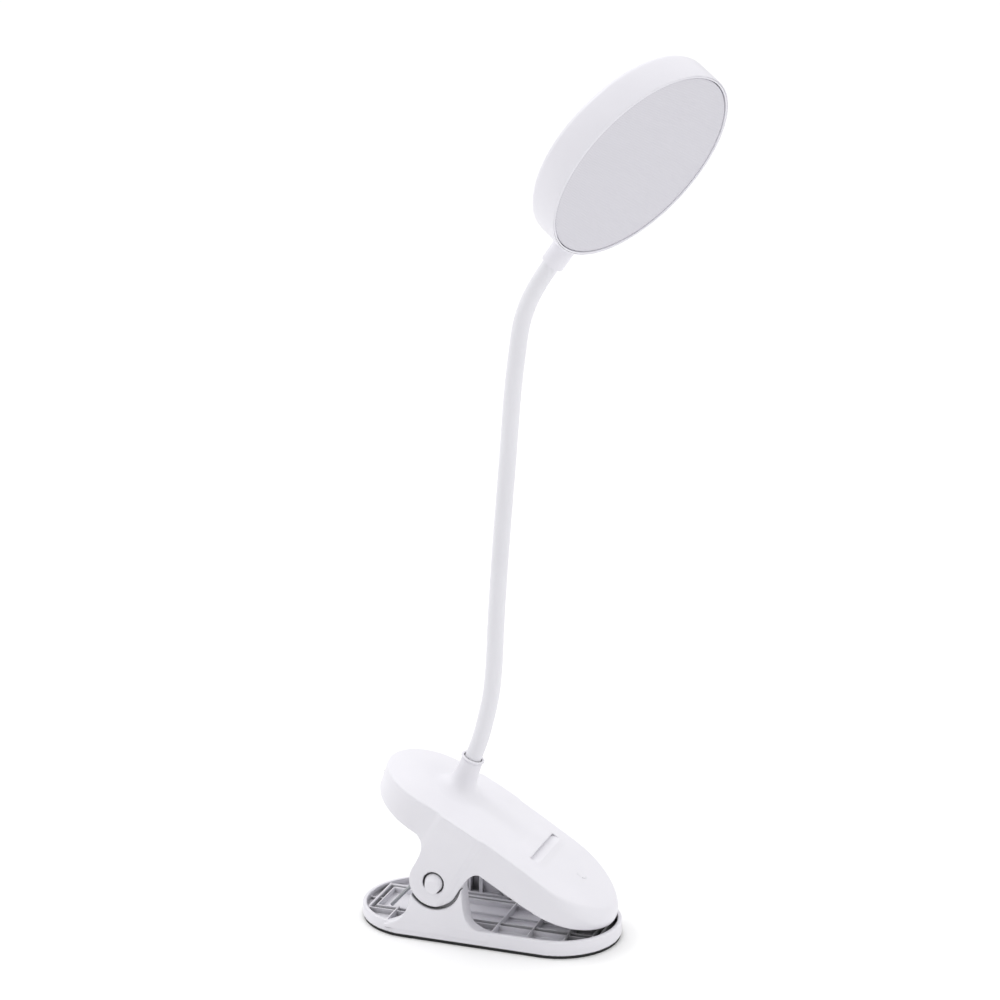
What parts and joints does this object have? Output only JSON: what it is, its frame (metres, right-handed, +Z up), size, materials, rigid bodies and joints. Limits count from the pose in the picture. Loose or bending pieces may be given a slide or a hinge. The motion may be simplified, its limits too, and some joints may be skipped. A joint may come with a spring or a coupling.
{
  "type": "clip-on reading lamp",
  "caption": "Clip-on lamp: a sprung, battery-powered clip with a flat base carries a bendable gooseneck and a thin round light head.",
  "frame": {"origin": "centre of the underside of the rubber sole, on the surface that the clip stands on", "axes": "+Z up, +X towards the mouth of the clip, +Y to the clip's left; the XZ plane is the clip's plane of symmetry"},
  "size_m": [0.1687, 0.0995, 0.4226],
  "materials": {
    "white_plastic": "satin moulded, faint lavender white",
    "white_sleeve": "smooth matt sleeve over a bendable core",
    "black_rubber": "matt moulded rubber",
    "frosted": "frosted diffuser with fine surface texture",
    "steel": "drawn steel",
    "board": "solder mask",
    "battery": "foil pouch",
    "red_lead": "insulated wire",
    "black_lead": "insulated wire",
    "led": "phosphor coated"
  },
  "bodies": {
    "base": {"rubber_sole": "black_rubber", "lower_jaw": "white_plastic", "pivot_pin": "steel", "pivot_cap_right": "white_plastic", "pivot_cap_left": "white_plastic", "torsion_spring": "steel"},
    "upper_jaw": {"upper_shell": "white_plastic", "under_plate": "white_plastic", "grip_pad": "black_rubber", "shell_screw_1": "steel", "shell_screw_2": "steel", "shell_screw_3": "steel", "shell_screw_4": "steel", "neck_nut": "steel", "battery_cell": "battery", "control_board": "board", "touch_spring": "steel", "charge_board": "board", "charge_port": "steel", "status_light": "frosted", "battery_lead_red": "red_lead", "battery_lead_black": "black_lead", "neck_root": "steel"},
    "neck_1": {"neck_sleeve_1": "white_sleeve", "neck_coil_1": "steel"},
    "neck_2": {"neck_sleeve_2": "white_sleeve", "neck_coil_2": "steel"},
    "neck_3": {"neck_sleeve_3": "white_sleeve", "neck_coil_3": "steel"},
    "neck_4": {"neck_sleeve_4": "white_sleeve", "neck_coil_4": "steel"},
    "neck_5": {"neck_sleeve_5": "white_sleeve", "neck_coil_5": "steel"},
    "neck_6": {"neck_sleeve_6": "white_sleeve", "neck_coil_6": "steel"},
    "head": {"head_collar": "white_plastic", "head_shell": "white_plastic", "bezel_ring": "white_plastic", "diffuser": "frosted", "led_board": "board", "led_1": "led", "led_2": "led", "led_3": "led", "led_4": "led", "led_5": "led", "led_6": "led", "led_7": "led", "led_8": "led", "head_screw_1": "steel", "head_screw_2": "steel", "head_screw_3": "steel", "head_lead": "black_lead"}
  },
  "joints": [
    {"name": "jaw_open", "type": "hinge", "parent": "base", "child": "upper_jaw", "pos_m": [-0.0189, 0, 0.0302], "axis": [0, -1, 0], "range_deg": [0, 35], "stiffness_Nm_per_rad": 0.8, "springref_deg": -40.11, "deforming": ["torsion_spring"]},
    {"name": "neck_bend_1", "type": "hinge", "parent": "upper_jaw", "child": "neck_1", "pos_m": [-0.00715, 0, 0.08996], "axis": [0, 1, 0], "range_deg": [-35, 35]},
    {"name": "neck_bend_2", "type": "hinge", "parent": "neck_1", "child": "neck_2", "pos_m": [0.00114, 0, 0.12814], "axis": [-0.9968, 0, 0.0805], "range_deg": [-35, 35]},
    {"name": "neck_bend_3", "type": "hinge", "parent": "neck_2", "child": "neck_3", "pos_m": [0.00324, 0, 0.16727], "axis": [0, 1, 0], "range_deg": [-35, 35]},
    {"name": "neck_bend_4", "type": "hinge", "parent": "neck_3", "child": "neck_4", "pos_m": [0.00603, 0, 0.20636], "axis": [-0.9968, 0, 0.0801], "range_deg": [-35, 35]},
    {"name": "neck_bend_5", "type": "hinge", "parent": "neck_4", "child": "neck_5", "pos_m": [0.00908, 0, 0.24543], "axis": [0, 1, 0], "range_deg": [-35, 35]},
    {"name": "neck_bend_6", "type": "hinge", "parent": "neck_5", "child": "neck_6", "pos_m": [0.01281, 0, 0.28442], "axis": [-0.9921, 0, 0.1255], "range_deg": [-35, 35]},
    {"name": "head_turn", "type": "hinge", "parent": "neck_6", "child": "head", "pos_m": [0.03241, 0.00051, 0.33102], "axis": [0.5788, -0.0089, 0.8154], "range_deg": [-75, 75]}
  ]
}
